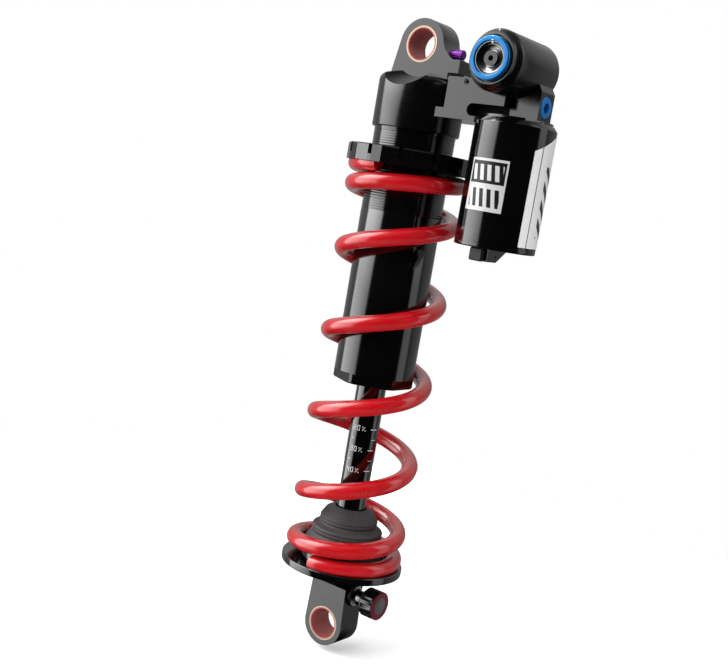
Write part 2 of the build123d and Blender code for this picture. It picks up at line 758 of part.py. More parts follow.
with BuildPart() as adjuster_sleeve:
    with BuildSketch(Plane.YZ.offset(6.4)):
        with Locations((0, KNOB_Z)):
            Circle(4.1)
    extrude(amount=3.2)
    with BuildSketch(Plane.YZ.offset(9.6)):
        with Locations((0, KNOB_Z)):
            Circle(4.7)
    extrude(amount=1.1)
    chamfer(adjuster_sleeve.edges().group_by(Axis.X)[-1], length=0.4)
    with BuildSketch(Plane.YZ.offset(6.4)):
        with Locations((0, KNOB_Z)):
            Circle(2.26)
    extrude(amount=5, mode=Mode.SUBTRACT)
    with BuildSketch(Plane.YZ.offset(9.0)):
        with Locations((0, KNOB_Z)):
            Circle(3.5)
    extrude(amount=2, mode=Mode.SUBTRACT)
save(adjuster_sleeve.part, "adjuster_sleeve")

with BuildPart() as lower_spring_perch:
    with BuildSketch(Plane.XY.offset(PLATE_BOT)):
        Circle(PLATE_R)
    extrude(amount=SPRING_BOT - PLATE_BOT)
    fillet(lower_spring_perch.edges(), radius=0.5)
    with BuildSketch(Plane.XY.offset(SPRING_BOT)):
        Circle(17.9)
    extrude(amount=3.0)
    with BuildSketch(Plane.XY.offset(PLATE_BOT)):
        Circle(SHAFT_R)
    extrude(amount=8, mode=Mode.SUBTRACT)
    with BuildSketch(Plane.XY.offset(-219.2)):
        Circle(7.6)
    extrude(amount=3, mode=Mode.SUBTRACT)
save(lower_spring_perch.part, "lower_spring_perch")
torus_ring("perch_retaining_ring", SHAFT_R + 0.61, 0.6, -218.6)

with BuildPart() as bottom_out_bumper:
    with BuildSketch(Plane.XZ):
        with BuildLine():
            Polyline((6.7, -217.98), (17.8, -217.98), (17.8, -213.6))
            Polyline((17.8, -213.6), (15.2, -209.9), (15.4, -208.9))
            ThreePointArc((15.4, -208.9), (15.3, -207.4), (14.2, -206.6))
            Polyline((14.2, -206.6), (13.0, -206.0), (12.3, -205.0))
            ThreePointArc((12.3, -205.0), (12.7, -203.6), (12.1, -202.4))
            ThreePointArc((12.1, -202.4), (10.6, -199.5), (8.0, -197.8))
            Polyline((8.0, -197.8), (6.7, -197.8), (6.7, -217.98))
        make_face()
    revolve(axis=Axis.Z)
save(bottom_out_bumper.part, "bottom_out_bumper")

# damping piston and its shim stacks, clamped by a hollow bolt
with BuildPart() as main_piston:
    with BuildSketch(Plane.XY.offset(-119.5)):
        Circle(13.6)
        Circle(4.0, mode=Mode.SUBTRACT)
        with PolarLocations(8.4, 6):
            Circle(1.5, mode=Mode.SUBTRACT)
    extrude(amount=9.0)
    with BuildSketch(Plane.XZ):
        with Locations((13.6, -115.0)):
            Rectangle(1.4, 6.0)
    revolve(axis=Axis.Z, mode=Mode.SUBTRACT)
save(main_piston.part, "main_piston")
tube_ring("piston_glide_band", TUBE_IN_R - 0.05, 12.9, -118.0, -112.0)

with BuildPart() as rebound_shims:
    for i in range(3):
        with BuildSketch(Plane.XY.offset(-121.0 + i * 0.5)):
            Circle(8.0 + i * 1.5)
            Circle(4.0, mode=Mode.SUBTRACT)
        extrude(amount=0.5)
save(rebound_shims.part, "rebound_shims")

with BuildPart() as compression_shims:
    for i in range(4):
        with BuildSketch(Plane.XY.offset(-110.5 + i * 0.5)):
            Circle(11.5 - i * 1.2)
            Circle(4.0, mode=Mode.SUBTRACT)
        extrude(amount=0.5)
save(compression_shims.part, "compression_shims")

with BuildPart() as piston_bolt:
    with BuildSketch(Plane.XY.offset(-129.8)):
        Circle(4.0)
    extrude(amount=21.3)
    with BuildSketch(Plane.XY.offset(-108.5)):
        RegularPolygon(6.8, 6)
    extrude(amount=5.0)
    with BuildSketch(Plane.XY.offset(-103.5)):
        Circle(3.0)
    extrude(amount=9.5)
    with BuildSketch(Plane.XY.offset(-130)):
        Circle(1.6)
    extrude(amount=24, mode=Mode.SUBTRACT)
    # feed holes that the rebound needle meters
    with BuildSketch(Plane.YZ):
        with Locations((0, -106.5)):
            Circle(0.5)
    extrude(amount=10, both=True, mode=Mode.SUBTRACT)
save(piston_bolt.part, "piston_bolt")
tube_ring("top_out_bumper", 10.5, SHAFT_R, -124.8, -121.05)
tube_ring("bottom_out_piston", 7.93, 3.0, -99.0, -94.0)

with BuildPart() as rebound_rod:
    with BuildSketch(Plane.XY.offset(-233.08)):
        Circle(2.0)
    extrude(amount=100.6)
    with BuildSketch(Plane.XY.offset(-132.48)):
        Circle(1.2)
    extrude(amount=22.0)
save(rebound_rod.part, "rebound_rod")


# ================= rebound knob =================
def turned_x(label, points):
    turned(label, points, Plane((0, 0, KNOB_Z), x_dir=(1, 0, 0), z_dir=(0, -1, 0)), Axis((0, 0, KNOB_Z), (1, 0, 0)))


# points are (x, radius)
turned_x("rebound_spindle", [(-2.6, 0), (18.0, 0), (18.0, 1.6), (16.0, 1.6), (16.0, 3.2), (12.4, 3.2), (11.8, 2.2),
                             (-2.6, 2.15)])
with BuildPart() as rebound_knob:
    with BuildSketch(Plane.YZ.offset(16.0)):
        with Locations((0, KNOB_Z)):
            Circle(KNOB_R)
            Circle(1.6, mode=Mode.SUBTRACT)
    extrude(amount=2.0)
    with BuildSketch(Plane.YZ.offset(18.0)):
        with Locations((0, KNOB_Z)):
            Circle(KNOB_R)
    extrude(amount=5.0)
    chamfer(rebound_knob.edges().group_by(Axis.X)[0].sort_by(SortBy.LENGTH)[-1], length=0.9)
    # broad shallow grip flutes
    with BuildSketch(Plane.YZ.offset(17.4)):
        with Locations((0, KNOB_Z)):
            with PolarLocations(KNOB_R + 1.6, 12):
                Circle(1.9)
    extrude(amount=4.6, mode=Mode.SUBTRACT)
    with BuildSketch(Plane.YZ.offset(23.0)):
        with Locations((0, KNOB_Z)):
            Circle(5.0)
    extrude(amount=-1.2, mode=Mode.SUBTRACT)
save(rebound_knob.part, "rebound_knob")
turned_x("rebound_knob_ring", [(21.8, 3.7), (23.6, 3.7), (23.7, 3.9), (23.7, 5.9), (23.4, KNOB_R), (23.0, KNOB_R),
                               (23.0, 5.0), (21.8, 5.0)])
turned_x("rebound_knob_disc", [(21.8, 0), (23.6, 0), (23.6, 3.7), (21.8, 3.7)])

print(len(FILES), "pieces written")
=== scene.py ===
import math

import bmesh
import bpy
from mathutils import Matrix, Vector


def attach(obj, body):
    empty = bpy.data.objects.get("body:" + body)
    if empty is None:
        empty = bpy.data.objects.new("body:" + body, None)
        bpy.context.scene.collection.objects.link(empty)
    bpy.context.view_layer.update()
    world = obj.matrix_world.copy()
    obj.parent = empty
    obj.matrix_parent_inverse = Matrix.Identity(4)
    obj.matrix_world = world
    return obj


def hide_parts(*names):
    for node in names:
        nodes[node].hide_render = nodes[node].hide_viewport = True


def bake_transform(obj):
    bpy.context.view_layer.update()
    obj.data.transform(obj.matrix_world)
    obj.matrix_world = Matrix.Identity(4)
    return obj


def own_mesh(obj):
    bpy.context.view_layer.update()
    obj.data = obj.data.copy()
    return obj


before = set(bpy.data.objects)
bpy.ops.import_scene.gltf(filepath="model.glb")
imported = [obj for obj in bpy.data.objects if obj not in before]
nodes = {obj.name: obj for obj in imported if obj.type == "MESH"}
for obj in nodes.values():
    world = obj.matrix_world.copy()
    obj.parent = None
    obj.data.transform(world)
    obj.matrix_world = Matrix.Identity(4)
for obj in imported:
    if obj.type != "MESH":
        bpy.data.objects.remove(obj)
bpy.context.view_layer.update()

MM = 0.001

# the part's own sizes, in metres
SHAFT_R = 6.35 * MM
SPRING_R = 22.1 * MM
WIRE_R = 3.5 * MM
SPRING_BOT = -221.0 * MM
SPRING_TOP = -49.6 * MM
TURNS = 7
RES_X = 47.0 * MM
BAR_X, BAR_Z = 46.0 * MM, -6.4 * MM


# ---------------------------------------------------------------- shader helpers
def new_material(name):
    mat = bpy.data.materials.new(name)
    mat.use_nodes = True
    tree = mat.node_tree
    bsdf = next(n for n in tree.nodes if n.type == "BSDF_PRINCIPLED")
    return mat, tree, bsdf


def add(tree, kind, **values):
    node = tree.nodes.new(kind)
    for key, value in values.items():
        if hasattr(node, key):
            setattr(node, key, value)
        else:
            node.inputs[key].default_value = value
    return node


def math_node(tree, op, a, b=None, c=None, clamp=False):
    node = tree.nodes.new("ShaderNodeMath")
    node.operation = op
    node.use_clamp = clamp
    for socket, value in zip(node.inputs, (a, b, c)):
        if value is None:
            continue
        if isinstance(value, (int, float)):
            socket.default_value = value
        else:
            tree.links.new(value, socket)
    return node.outputs[0]


def coords(tree, scale=(1, 1, 1)):
    tc = tree.nodes.new("ShaderNodeTexCoord")
    mp = tree.nodes.new("ShaderNodeMapping")
    mp.inputs["Scale"].default_value = scale
    tree.links.new(tc.outputs["Object"], mp.inputs["Vector"])
    return mp.outputs["Vector"]


def noise(tree, vector, scale, detail=4.0, rough=0.55):
    node = add(tree, "ShaderNodeTexNoise", Scale=scale, Detail=detail, Roughness=rough)
    tree.links.new(vector, node.inputs["Vector"])
    return node.outputs["Fac"]


def ramp(tree, fac, stops):
    node = tree.nodes.new("ShaderNodeValToRGB")
    els = node.color_ramp.elements
    while len(els) < len(stops):
        els.new(0.5)
    for el, (pos, col) in zip(els, stops):
        el.position = pos
        el.color = (*col, 1) if len(col) == 3 else col
    tree.links.new(fac, node.inputs["Fac"])
    return node.outputs["Color"]


def remap(tree, fac, lo, hi):
    node = tree.nodes.new("ShaderNodeMapRange")
    node.inputs["From Min"].default_value = 0.3
    node.inputs["From Max"].default_value = 0.7
    node.inputs["To Min"].default_value = lo
    node.inputs["To Max"].default_value = hi
    tree.links.new(fac, node.inputs["Value"])
    return node.outputs["Result"]


def grey(v):
    return (v, v, v)


def surface(name, colours, rough, metallic=0.0, grain=900.0, stretch=(1, 1, 1), bump=0.02, depth=0.0001,
            coat=0.0, coat_rough=0.05, specular=0.5):
    """Colour variation, uneven gloss and a fine relief, all from object-space noise."""
    mat, tree, bsdf = new_material(name)
    vec = coords(tree, stretch)
    broad = noise(tree, coords(tree), 60.0, 3.0)
    fine = noise(tree, vec, grain, 5.0, 0.6)
    colour = ramp(tree, broad, [(0.3, colours[0]), (0.7, colours[1])])
    tree.links.new(colour, bsdf.inputs["Base Color"])
    tree.links.new(remap(tree, noise(tree, vec, grain * 0.35, 4.0), *rough), bsdf.inputs["Roughness"])
    bsdf.inputs["Metallic"].default_value = metallic
    bsdf.inputs["Specular IOR Level"].default_value = specular
    bsdf.inputs["Coat Weight"].default_value = coat
    bsdf.inputs["Coat Roughness"].default_value = coat_rough
    relief = add(tree, "ShaderNodeBump", Strength=bump, Distance=depth)
    tree.links.new(fine, relief.inputs["Height"])
    tree.links.new(relief.outputs["Normal"], bsdf.inputs["Normal"])
    return mat


TURNED_Z = (0.15, 0.15, 9.0)
TURNED_Y = (0.15, 9.0, 0.15)
TURNED_X = (9.0, 0.15, 0.15)

M = {}
M["gloss_black"] = surface("gloss_black", (grey(0.0010), grey(0.0020)), (0.07, 0.13), 0.0, 700, TURNED_Z, 0.02,
                           specular=1.0, coat=0.4, coat_rough=0.04)
M["gloss_black_y"] = surface("gloss_black_y", (grey(0.0010), grey(0.0020)), (0.22, 0.30), 0.0, 700, TURNED_Y, 0.02,
                             specular=1.0, coat=0.08, coat_rough=0.10)
M["satin_black"] = surface("satin_black", (grey(0.0012), grey(0.0024)), (0.14, 0.22), 0.0, 1500, (1, 1, 1), 0.03,
                           specular=1.0, coat=0.2, coat_rough=0.10)
M["shaft_black"] = surface("shaft_black", (grey(0.0010), grey(0.0018)), (0.05, 0.10), 0.0, 900, TURNED_Z, 0.01,
                           specular=1.0, coat=0.8, coat_rough=0.03)
M["spring_red"] = surface("spring_red", ((0.36, 0.003, 0.006), (0.45, 0.005, 0.009)), (0.20, 0.28), 0.0, 420,
                          (1, 1, 1), 0.06, 0.0002, coat=0.9, coat_rough=0.07, specular=0.6)
M["bronze"] = surface("bronze", ((0.40, 0.32, 0.22), (0.54, 0.44, 0.31)), (0.22, 0.36), 1.0, 1200, TURNED_Y, 0.05)
M["liner"] = surface("liner", ((0.29, 0.07, 0.065), (0.40, 0.105, 0.10)), (0.28, 0.42), 0.15, 1500, TURNED_Y, 0.08)
M["rubber"] = surface("rubber", ((0.044, 0.042, 0.043), (0.062, 0.060, 0.061)), (0.52, 0.66), 0.0, 2400, (1, 1, 1),
                      0.20, specular=0.4)
M["steel"] = surface("steel", (grey(0.42), grey(0.55)), (0.22, 0.34), 1.0, 1400, (1, 1, 1), 0.06)
M["dark_steel"] = surface("dark_steel", (grey(0.05), grey(0.09)), (0.24, 0.36), 1.0, 1400, (1, 1, 1), 0.05)
M["chrome"] = surface("chrome", (grey(0.70), grey(0.84)), (0.24, 0.34), 1.0, 900, TURNED_X, 0.02)
M["spindle"] = surface("spindle", (grey(0.16), grey(0.26)), (0.12, 0.22), 1.0, 900, TURNED_X, 0.03)
M["aluminium"] = surface("aluminium", (grey(0.50), grey(0.62)), (0.26, 0.38), 1.0, 1100, TURNED_Z, 0.06)
M["dish_grey"] = surface("dish_grey", (grey(0.30), grey(0.40)), (0.14, 0.24), 1.0, 1100, TURNED_Y, 0.03)
M["blue"] = surface("blue", ((0.012, 0.13, 0.36), (0.020, 0.17, 0.43)), (0.20, 0.30), 0.85, 1300, TURNED_Y, 0.04,
                    coat=0.2)
M["blue_x"] = surface("blue_x", ((0.014, 0.20, 0.60), (0.025, 0.27, 0.72)), (0.24, 0.34), 0.55, 1300, TURNED_X,
                      0.04, coat=0.2)
M["purple"] = surface("purple", ((0.12, 0.008, 0.20), (0.18, 0.014, 0.30)), (0.22, 0.32), 0.6, 1300, TURNED_X,
                      0.05, coat=0.3)
M["red_anodised"] = surface("red_anodised", ((0.13, 0.014, 0.026), (0.22, 0.030, 0.050)), (0.26, 0.36), 0.5, 1300,
                            TURNED_X, 0.05)
# two copies of the satin black with weak, blurred reflection: painted shade for the head's milled pockets and scoops
M["pocket_shade_black"] = surface("pocket_shade_black", (grey(0.0012), grey(0.0024)), (0.50, 0.65), 0.0, 1500, (1, 1, 1), 0.05,
                            specular=0.08)
M["scoop_shade_black"] = surface("scoop_shade_black", (grey(0.0012), grey(0.0024)), (0.26, 0.36), 0.0, 1500, (1, 1, 1), 0.04,
                           specular=0.30)
M["plastic"] = surface("plastic", (grey(0.006), grey(0.012)), (0.34, 0.46), 0.0, 1800, (1, 1, 1), 0.08)
M["white_print"] = surface("white_print", (grey(0.60), grey(0.75)), (0.45, 0.55), 0.0, 2600, (1, 1, 1), 0.05)
M["disc_grey"] = surface("disc_grey", (grey(0.07), grey(0.14)), (0.40, 0.55), 0.3, 900, (1, 1, 1), 0.25)
M["knob_black"] = surface("knob_black", (grey(0.004), grey(0.008)), (0.16, 0.26), 0.0, 1300, TURNED_X, 0.03,
                          specular=1.0, coat=0.3)

BY_NODE = {
    "satin_black": ["shock_head", "lower_eyelet"],
    "gloss_black": ["damper_tube", "seal_head", "reservoir_tube", "reservoir_end_cap", "preload_collar",
                    "lower_spring_perch"],
    "gloss_black_y": ["dial_bezel", "high_speed_screw"],
    "shaft_black": ["damper_shaft"],
    "spring_red": ["coil_spring"],
    "bronze": ["upper_eye_bushing", "lower_eye_bushing", "shaft_bushing", "valve_core"],
    "liner": ["upper_eye_liner", "lower_eye_liner"],
    "rubber": ["head_o_ring", "seal_head_o_ring", "shaft_seal", "wiper_seal", "end_cap_o_ring", "valve_o_ring",
               "floating_piston_o_ring", "bottom_out_bumper", "top_out_bumper"],
    "dark_steel": ["gallery_plug"],
    "steel": ["end_cap_wire_ring", "air_valve_body", "compression_valve_shims",
              "compression_valve_bolt", "floating_piston_bleed_screw", "perch_retaining_ring", "rebound_shims",
              "compression_shims", "piston_bolt"],
    "chrome": ["adjuster_sleeve"],
    "spindle": ["rebound_spindle"],
    "aluminium": ["bottom_out_cup", "compression_dial_stem", "compression_valve_body", "floating_piston",
                  "main_piston", "bottom_out_piston", "rebound_rod"],
    "blue": ["compression_dial"],
    "blue_x": ["side_adjuster"],
    "purple": ["bottom_out_dial"],
    "red_anodised": ["rebound_knob_ring"],
    "plastic": ["valve_cap", "spring_guide", "piston_glide_band"],
    "knob_black": ["rebound_knob"],
    "disc_grey": ["rebound_knob_disc"],
}


# ---------------------------------------------------------------- foil stickers
def band(tree, value, lo, hi):
    """1 where lo < value < hi."""
    return math_node(tree, "MULTIPLY", math_node(tree, "GREATER_THAN", value, lo),
                     math_node(tree, "LESS_THAN", value, hi))


def foil(name, tones, marks):
    """Silver foil with black printed marks; marks(tree, angle in degrees, height in mm) gives 1 where it is black."""
    mat, tree, bsdf = new_material(name)
    tc = tree.nodes.new("ShaderNodeTexCoord")
    sep = tree.nodes.new("ShaderNodeSeparateXYZ")
    tree.links.new(tc.outputs["Object"], sep.inputs[0])
    x = math_node(tree, "SUBTRACT", sep.outputs["X"], RES_X)
    angle = math_node(tree, "MULTIPLY", math_node(tree, "ARCTAN2", sep.outputs["Y"], x), 180 / math.pi)
    height = math_node(tree, "MULTIPLY", sep.outputs["Z"], 1000.0)
    ink = math_node(tree, "MINIMUM", marks(tree, angle, height), 1.0)
    fine = noise(tree, coords(tree), 1500.0, 4.0)
    silver = ramp(tree, fine, [(0.3, grey(tones[0])), (0.7, grey(tones[1]))])
    mix = tree.nodes.new("ShaderNodeMix")
    mix.data_type = "RGBA"
    tree.links.new(ink, mix.inputs["Factor"])
    tree.links.new(silver, mix.inputs["A"])
    mix.inputs["B"].default_value = (0.006, 0.006, 0.007, 1)
    tree.links.new(mix.outputs["Result"], bsdf.inputs["Base Color"])
    tree.links.new(math_node(tree, "MULTIPLY_ADD", ink, -0.15, 0.15), bsdf.inputs["Metallic"])
    tree.links.new(math_node(tree, "MULTIPLY_ADD", fine, 0.14, 0.26), bsdf.inputs["Roughness"])
    relief = add(tree, "ShaderNodeBump", Strength=0.05, Distance=0.0001)
    tree.links.new(fine, relief.inputs["Height"])
    tree.links.new(relief.outputs["Normal"], bsdf.inputs["Normal"])
    return mat


def patch_marks(tree, angle, height):
    """Two fields, black over silver, each with a row of plain slanted bars in the other tone."""
    black_field = math_node(tree, "MULTIPLY", band(tree, angle, -115.5, -62.5), band(tree, height, -52.2, -43.6))
    slanted = math_node(tree, "MULTIPLY_ADD", height, 0.55, angle)
    phase = math_node(tree, "FRACT", math_node(tree, "DIVIDE", slanted, 11.5))
    bars = math_node(tree, "LESS_THAN", phase, 0.52)
    in_angle = band(tree, angle, -112.5, -65.5)
    upper = math_node(tree, "MULTIPLY", math_node(tree, "MULTIPLY", bars, in_angle), band(tree, height, -51.0, -45.0))
    lower = math_node(tree, "MULTIPLY", math_node(tree, "MULTIPLY", bars, in_angle), band(tree, height, -61.2, -54.2))
    return math_node(tree, "ADD", math_node(tree, "SUBTRACT", black_field, upper, clamp=True), lower)


def stripe_marks(tree, angle, height):
    """A thin dividing line along the foil, and a row of plain slanted bars on its outer field."""
    divide = band(tree, angle, -15.0, -13.4)
    slanted = math_node(tree, "MULTIPLY_ADD", angle, 0.28, height)
    phase = math_node(tree, "FRACT", math_node(tree, "DIVIDE", slanted, 7.2))
    bars = math_node(tree, "MULTIPLY", math_node(tree, "LESS_THAN", phase, 0.5),
                     math_node(tree, "MULTIPLY", band(tree, angle, 2.0, 30.0), band(tree, height, -70.0, -42.0)))
    return math_node(tree, "ADD", divide, bars)


M["foil_patch"] = foil("foil_patch", (0.44, 0.54), patch_marks)
M["foil_stripe"] = foil("foil_stripe", (0.82, 0.92), stripe_marks)
BY_NODE["foil_patch"] = ["reservoir_patch"]
BY_NODE["foil_stripe"] = ["reservoir_stripe"]

SOFT_EDGE = {"shock_head": 0.45, "lower_eyelet": 0.35, "preload_collar": 0.25, "lower_spring_perch": 0.15,
             "seal_head": 0.15, "dial_bezel": 0.12, "compression_dial": 0.5, "side_adjuster": 0.12,
             "bottom_out_dial": 0.1, "rebound_knob": 0.12, "reservoir_end_cap": 0.25, "high_speed_screw": 0.1,
             "rebound_spindle": 0.12, "valve_cap": 0.1, "spring_guide": 0.15, "reservoir_tube": 0.1}

for material, names in BY_NODE.items():
    for n in names:
        o = nodes[n]
        o.data.materials.clear()
        o.data.materials.append(M[material])
        weld = o.modifiers.new("weld", "WELD")
        weld.merge_threshold = 0.000004
        if n in SOFT_EDGE:
            bevel = o.modifiers.new("edge", "BEVEL")
            bevel.width = SOFT_EDGE[n] * MM
            bevel.segments = 2
            bevel.limit_method = "ANGLE"
            bevel.angle_limit = math.radians(38)
            bevel.harden_normals = False

# the walls of the head's two long milled pockets and of the two scoops under its eye are left duller: a rougher black
# with its reflection turned down, painted shade that darkens these recesses
head = nodes["shock_head"].data
head.materials.append(M["pocket_shade_black"])
head.materials.append(M["scoop_shade_black"])
for poly in head.polygons:
    x, y, z = (v / MM for v in poly.center)
    if 29.5 < x < 46.1 and 5.55 < abs(y) < 10.6 and -27.0 < z < -21.8:
        poly.material_index = 1
    elif abs(y) > 6.4 and abs(math.hypot(x, z) - 13.3 - (abs(y) - 6.35) * math.tan(math.radians(23))) < 0.35:
        poly.material_index = 2


# ---------------------------------------------------------------- mesh helpers
def mesh_object(name, verts, faces, material, body, smooth=True):
    mesh = bpy.data.meshes.new(name)
    mesh.from_pydata([tuple(v) for v in verts], [], faces)
    mesh.update()
    bm = bmesh.new()
    bm.from_mesh(mesh)
    bmesh.ops.recalc_face_normals(bm, faces=bm.faces)
    bm.to_mesh(mesh)
    bm.free()
    mesh.materials.append(material)
    for poly in mesh.polygons:
        poly.use_smooth = smooth
    if smooth:
        mesh.set_sharp_from_angle(angle=math.radians(35))
    obj = bpy.data.objects.new(name, mesh)
    bpy.context.scene.collection.objects.link(obj)
    if body:
        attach(obj, body)
    return obj


def lathe(name, profile, placement, material, body, steps=96):
    """profile is a closed loop of (radius, height) in metres."""
    verts, faces = [], []
    n = len(profile)
    for i in range(steps):
        a = 2 * math.pi * i / steps
        for r, h in profile:
            verts.append(placement @ Vector((r * math.cos(a), r * math.sin(a), h)))
    for i in range(steps):
        j = (i + 1) % steps
        for k in range(n):
            m = (k + 1) % n
            faces.append((i * n + k, j * n + k, j * n + m, i * n + m))
    return mesh_object(name, verts, faces, material, body)


# ---------------------------------------------------------------- coil spring
SPRING_Z0, PITCH_END, PITCH_MID = -219.8 * MM, 5.4 * MM, 35.6 * MM
RAMP_A, RAMP_W = 0.36, 1.936


def smooth_ramp(u):
    if u <= 0:
        return 0.0
    return u - 0.5 if u >= 1 else u ** 3 - u ** 4 / 2


def open_share(t):
    return smooth_ramp((t - RAMP_A) / RAMP_W) - smooth_ramp((t - (TURNS - RAMP_A - RAMP_W)) / RAMP_W)


def wire_point(t):
    a = 2 * math.pi * t - math.pi / 2
    z = SPRING_Z0 + PITCH_END * t + (PITCH_MID - PITCH_END) * RAMP_W * open_share(t)
    return Vector((SPRING_R * math.cos(a), SPRING_R * math.sin(a), z))


def build_spring():
    per_turn, sides = 72, 28
    count = TURNS * per_turn
    verts, faces, weights = [], [], []
    for i in range(count + 1):
        t = i / per_turn
        p = wire_point(t)
        d = (wire_point(min(t + 0.001, TURNS)) - wire_point(max(t - 0.001, 0))).normalized()
        out = Vector((p.x, p.y, 0)).normalized()
        up = d.cross(out).normalized()
        out = up.cross(d).normalized()
        w = 1 - open_share(t) / open_share(TURNS)
        # the cut ends are eased
        r = WIRE_R * (0.93 if i in (0, count) else 1.0)
        for k in range(sides):
            b = 2 * math.pi * k / sides
            v = p + (out * math.cos(b) + up * math.sin(b)) * r
            v.z = min(max(v.z, SPRING_BOT), SPRING_TOP)
            verts.append(v)
            weights.append(w)
    for i in range(count):
        for k in range(sides):
            m = (k + 1) % sides
            faces.append((i * sides + k, i * sides + m, (i + 1) * sides + m, (i + 1) * sides + k))
    faces.append(tuple(range(sides)))
    faces.append(tuple(count * sides + k for k in reversed(range(sides))))
    obj = mesh_object("coil_spring_wire", verts, faces, M["spring_red"], None)
    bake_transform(obj)
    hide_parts("coil_spring")


build_spring()


# ---------------------------------------------------------------- rubber bumper
def rounded(points, radius, steps=5):
    """The closed loop with its corners rounded."""
    out = []
    n = len(points)
    for i in range(n):
        p = Vector(points[i])
        a, b = Vector(points[i - 1]) - p, Vector(points[(i + 1) % n]) - p
        r = min(radius, a.length * 0.45, b.length * 0.45)
        pa, pb = p + a.normalized() * r, p + b.normalized() * r
        for k in range(steps + 1):
            s = k / steps
            out.append(tuple(pa * (1 - s) ** 2 + p * 2 * s * (1 - s) + pb * s ** 2))
    return out


BUMPER = [(6.7, -217.98), (17.8, -217.98), (17.8, -213.8), (16.6, -212.1), (16.3, -211.6), (15.1, -210.0),
          (15.5, -209.0), (15.2, -208.2), (15.5, -207.6), (15.0, -206.7), (13.4, -206.3), (12.4, -205.7), (12.1, -205.0),
          (12.75, -204.3), (12.4, -203.5), (12.7, -202.9), (12.1, -201.8), (10.4, -199.2), (7.9, -197.8), (6.7, -197.8)]
bumper = lathe("bumper_cone", rounded([(r * MM, z * MM) for r, z in BUMPER], 0.0006), Matrix.Identity(4),
               M["rubber"], "shaft_assembly")
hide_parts("bottom_out_bumper")
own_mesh(bumper)


# ---------------------------------------------------------------- printed sag scale on the shaft
def shaft_patch(verts, faces, x0, x1, z0, z1, centre):
    """A thin printed rectangle wrapped on the shaft; x in mm along the surface."""
    base = len(verts)
    steps = 4
    for depth in (0.002 * MM, 0.012 * MM):
        for z in (z0, z1):
            for i in range(steps + 1):
                x = x0 + (x1 - x0) * i / steps
                a = math.radians(centre) + x * MM / SHAFT_R
                r = SHAFT_R + depth
                verts.append(Vector((r * math.cos(a), r * math.sin(a), z * MM)))
    row = steps + 1
    for i in range(steps):
        a, b, c, d = base + i, base + i + 1, base + row + i + 1, base + row + i
        o = 2 * row
        faces.append((a + o, b + o, c + o, d + o))
        faces.append((d, c, b, a))
        faces.append((a, b, b + o, a + o))
        faces.append((c, d, d + o, c + o))
    faces.append((base, base + 2 * row, base + 3 * row, base + row))
    e = base + steps
    faces.append((e, e + row, e + 3 * row, e + 2 * row))


SEGMENTS = {"0": "abcdef", "2": "abged", "3": "abgcd", "4": "fgbc"}
# each stroke: x0, x1, z0, z1 on a cell 1 wide and 2 high
STROKES = {"a": (0, 1, 1.8, 2), "b": (0.8, 1, 1, 2), "c": (0.8, 1, 0, 1), "d": (0, 1, 0, 0.2),
           "e": (0, 0.2, 0, 1), "f": (0, 0.2, 1, 2), "g": (0, 1, 0.9, 1.1)}


def sag_scale():
    verts, faces = [], []
    view_side = -52.0
    for k, label in enumerate(("20", "30", "40")):
        z = -162.0 - 9.15 * k
        shaft_patch(verts, faces, 2.6, 5.6, z - 0.18, z + 0.18, view_side)
        if k < 2:
            shaft_patch(verts, faces, 3.6, 5.6, z - 4.6 - 0.12, z - 4.6 + 0.12, view_side)
            shaft_patch(verts, faces, -5.6, -4.4, z - 4.6 - 0.12, z - 4.6 + 0.12, view_side)
        for d, digit in enumerate(label):
            for s in SEGMENTS[digit]:
                x0, x1, z0, z1 = STROKES[s]
                ox = -5.4 + d * 1.9
                shaft_patch(verts, faces, ox + x0 * 1.2, ox + x1 * 1.2, z - 1.0 + z0 * 1.1, z - 1.0 + z1 * 1.1,
                            view_side)
        # percent sign: two dots and a stroke
        shaft_patch(verts, faces, -1.4, -1.0, z + 0.5, z + 0.9, view_side)
        shaft_patch(verts, faces, -0.2, 0.2, z - 0.9, z - 0.5, view_side)
        for s in range(5):
            shaft_patch(verts, faces, -1.3 + s * 0.24, -1.05 + s * 0.24, z - 0.9 + s * 0.36, z - 0.5 + s * 0.36,
                        view_side)
    mesh_object("sag_scale", verts, faces, M["white_print"], "shaft_assembly", smooth=False)


sag_scale()


# ---------------------------------------------------------------- dial dish and index marks
def along_y(x, y, z):
    """Frame whose local Z runs toward the front, -Y."""
    return Matrix.Translation((x, y, z)) @ Matrix.Rotation(math.radians(90), 4, "X")


dish_profile = [(3.25, 25.42), (3.25, 25.55), (5.4, 26.35), (6.0, 27.2), (6.15, 27.2), (6.15, 26.7)]
lathe("dial_dish", [(r * MM, h * MM) for r, h in dish_profile], along_y(BAR_X, 0, BAR_Z), M["dish_grey"],
      "compression_dial")


def block(name, centre, size, rotation, material, body):
    """A small printed mark with eased corners."""
    bm = bmesh.new()
    bmesh.ops.create_cube(bm, size=1.0)
    bmesh.ops.scale(bm, vec=size, verts=bm.verts)
    bmesh.ops.bevel(bm, geom=bm.edges[:], offset=min(size) * 0.25, segments=2, affect="EDGES")
    mesh = bpy.data.meshes.new(name)
    bm.to_mesh(mesh)
    bm.free()
    mesh.transform(Matrix.Translation(centre) @ rotation)
    mesh.materials.append(material)
    obj = bpy.data.objects.new(name, mesh)
    bpy.context.scene.collection.objects.link(obj)
    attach(obj, body)


def dial_mark(name, radius, y, angle, size, material, body):
    a = math.radians(angle)
    centre = Vector((BAR_X + radius * MM * math.cos(a), y * MM, BAR_Z + radius * MM * math.sin(a)))
    block(name, centre, [s * MM for s in size], Matrix.Rotation(-a, 4, "Y"), material, body)


dial_mark("dial_index", 7.3, -27.53, 90, (1.9, 0.12, 0.7), M["white_print"], "compression_dial")
dial_mark("dial_index_inner", 5.75, -26.7, 90, (0.5, 1.3, 0.7), M["white_print"], "compression_dial")
dial_mark("bezel_index", 10.8, -23.68, 90, (1.4, 0.1, 0.5), M["white_print"], "damper")

